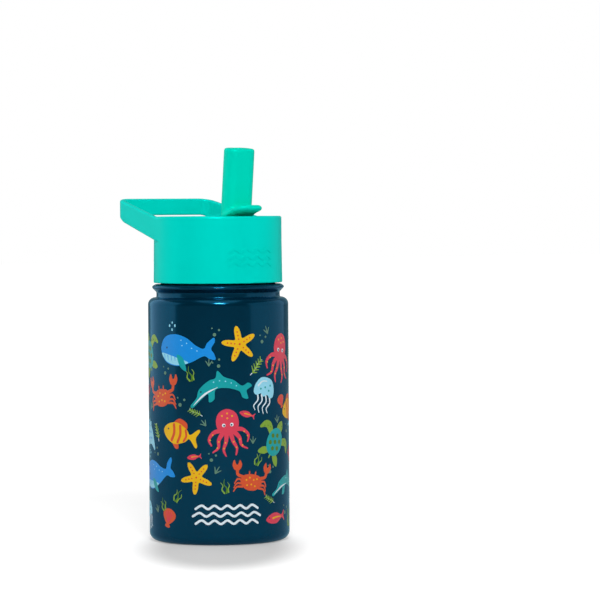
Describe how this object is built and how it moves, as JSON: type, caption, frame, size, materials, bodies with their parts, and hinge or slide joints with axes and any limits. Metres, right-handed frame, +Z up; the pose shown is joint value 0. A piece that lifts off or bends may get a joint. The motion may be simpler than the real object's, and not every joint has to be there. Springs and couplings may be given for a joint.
{
  "type": "straw lid water bottle",
  "caption": "Small double-wall steel water bottle with a screw lid, a carrying loop, a flip-up drinking spout with thumb tab, and a straw.",
  "frame": {"origin": "centre of the foot, on the bottle's axis, in the plane it stands on", "axes": "+Z up along the bottle's axis; +Y towards the carrying loop, so the thumb tab points to -Y; +X across, along the spout's hinge"},
  "size_m": [0.073, 0.0921, 0.2035],
  "materials": {
    "navy_paint": "gloss powder coat with a printed pattern",
    "bare_steel": "satin",
    "solder": "dull",
    "getter_metal": "sintered",
    "teal_plastic": "semi-gloss",
    "teal_spout": "soft satin",
    "white_plastic": "satin",
    "clear_silicone": "soft translucent",
    "straw_plastic": "translucent satin"
  },
  "bodies": {
    "flask": {"outer_shell": "navy_paint", "inner_flask": "bare_steel", "inner_bottom": "bare_steel", "vacuum_disc": "bare_steel", "vacuum_seal": "solder", "getter": "getter_metal", "base_cover": "bare_steel"},
    "gasket_carrier": {"lid_gasket": "clear_silicone"},
    "lid": {"lid_shell": "teal_plastic", "lid_liner": "white_plastic", "spout_seal": "clear_silicone", "vent_valve": "clear_silicone", "straw": "straw_plastic"},
    "spout": {"spout": "teal_spout"}
  },
  "joints": [
    {"name": "lid_lift", "type": "slide", "parent": "flask", "child": "gasket_carrier", "axis": [0, 0, 1], "range_m": [0, 0.006]},
    {"name": "lid_turn", "type": "hinge", "parent": "gasket_carrier", "child": "lid", "pos_m": [0, 0, 0.134], "axis": [0, 0, 1], "range_deg": [0, 540]},
    {"name": "spout_fold", "type": "hinge", "parent": "lid", "child": "spout", "pos_m": [0, -0.0173, 0.1621], "axis": [-1, 0, 0], "range_deg": [0, 96]}
  ],
  "couplings": [
    {"joint": "lid_lift", "follows": "lid_turn", "m_per_rad": 0.00063662}
  ]
}
